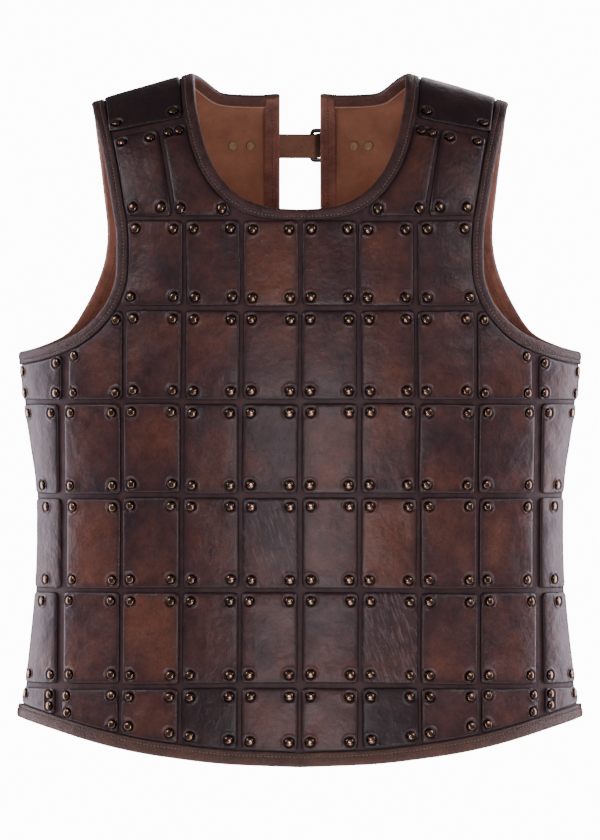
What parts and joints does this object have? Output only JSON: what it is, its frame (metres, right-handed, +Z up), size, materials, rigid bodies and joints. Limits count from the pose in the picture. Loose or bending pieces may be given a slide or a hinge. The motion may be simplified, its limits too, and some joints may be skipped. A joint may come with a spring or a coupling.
{
  "type": "leather brigandine vest, worn shape with no wearer",
  "caption": "Sleeveless leather brigandine: rows of riveted leather plates on a bound leather front, plain back halves closed by buckled straps.",
  "frame": {"origin": "where the wearer's shoulders carry it: midway between the undersides of the two shoulder straps", "axes": "+Z up the wearer's body, -Y out of the front, +X to the right as seen from the front"},
  "size_m": [0.5122, 0.2287, 0.6212],
  "materials": {
    "base_leather": "dark brown semi-gloss leather, tan flesh side",
    "plate_leather": "antiqued red-brown glossy leather with dark burnished edges",
    "binding_leather": "red-brown stitched edge leather",
    "strap_leather": "tan strap leather",
    "rivet_brass": "antique brass",
    "buckle_steel": "blackened steel"
  },
  "bodies": {
    "root": {"front_panel": "base_leather", "back_panel_right": "base_leather", "back_panel_left": "base_leather", "shoulder_plate_right": "plate_leather", "shoulder_plate_left": "plate_leather", "neck_binding_front": "binding_leather", "hem_binding_front": "binding_leather", "armhole_binding_front_right": "binding_leather", "armhole_binding_front_left": "binding_leather", "armhole_binding_back_right": "binding_leather", "armhole_binding_back_left": "binding_leather", "neck_binding_back_right": "binding_leather", "neck_binding_back_left": "binding_leather", "hem_binding_back_right": "binding_leather", "hem_binding_back_left": "binding_leather", "opening_binding_right": "binding_leather", "opening_binding_left": "binding_leather", "strap_1": "strap_leather", "buckle_tab_1": "strap_leather", "buckle_frame_1": "buckle_steel", "buckle_prong_1": "buckle_steel", "strap_keeper_1": "strap_leather", "strap_rivet_1_1": "rivet_brass", "strap_rivet_1_2": "rivet_brass", "tab_rivet_1_1": "rivet_brass", "tab_rivet_1_2": "rivet_brass", "strap_2": "strap_leather", "buckle_tab_2": "strap_leather", "buckle_frame_2": "buckle_steel", "buckle_prong_2": "buckle_steel", "strap_keeper_2": "strap_leather", "strap_rivet_2_1": "rivet_brass", "strap_rivet_2_2": "rivet_brass", "tab_rivet_2_1": "rivet_brass", "tab_rivet_2_2": "rivet_brass", "strap_3": "strap_leather", "buckle_tab_3": "strap_leather", "buckle_frame_3": "buckle_steel", "buckle_prong_3": "buckle_steel", "strap_keeper_3": "strap_leather", "strap_rivet_3_1": "rivet_brass", "strap_rivet_3_2": "rivet_brass", "tab_rivet_3_1": "rivet_brass", "tab_rivet_3_2": "rivet_brass", "strap_4": "strap_leather", "buckle_tab_4": "strap_leather", "buckle_frame_4": "buckle_steel", "buckle_prong_4": "buckle_steel", "strap_keeper_4": "strap_leather", "strap_rivet_4_1": "rivet_brass", "strap_rivet_4_2": "rivet_brass", "tab_rivet_4_1": "rivet_brass", "tab_rivet_4_2": "rivet_brass"}
  },
  "joints": []
}
